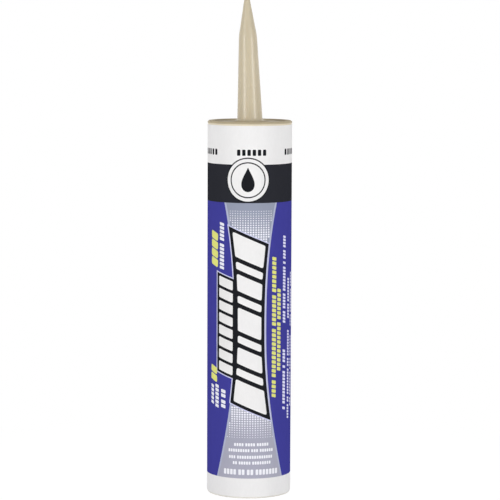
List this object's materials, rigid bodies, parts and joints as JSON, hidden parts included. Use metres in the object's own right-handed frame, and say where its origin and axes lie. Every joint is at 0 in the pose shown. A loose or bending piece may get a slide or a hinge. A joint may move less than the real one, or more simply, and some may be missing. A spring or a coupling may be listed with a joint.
{
  "type": "caulk tube",
  "caption": "Sealant cartridge with a printed paper wrap, a moulded plate with a tapered nozzle, and a plunger that slides in from the open rear.",
  "frame": {"origin": "centre of the barrel's open rear rim, on the surface that the cartridge stands on", "axes": "+Z along the barrel to the nozzle, -Y to the front of the print, the nozzle's tip leans to -X"},
  "size_m": [0.0489, 0.0491, 0.2882],
  "materials": {
    "board": "wound board, matt",
    "wrap": "printed paper, satin",
    "tan_plastic": "moulded, satin",
    "foil": "rolled foil",
    "sealant": "smooth paste",
    "natural_plastic": "natural, satin"
  },
  "bodies": {
    "cartridge": {"barrel": "board", "label": "wrap", "nozzle": "tan_plastic", "inner_seal": "foil", "sealant": "sealant"},
    "plunger": {"plunger": "natural_plastic"}
  },
  "joints": [
    {"name": "plunger_slide", "type": "slide", "parent": "cartridge", "child": "plunger", "axis": [0, 0, 1], "range_m": [0, 0.179], "deforming": ["sealant"]}
  ]
}
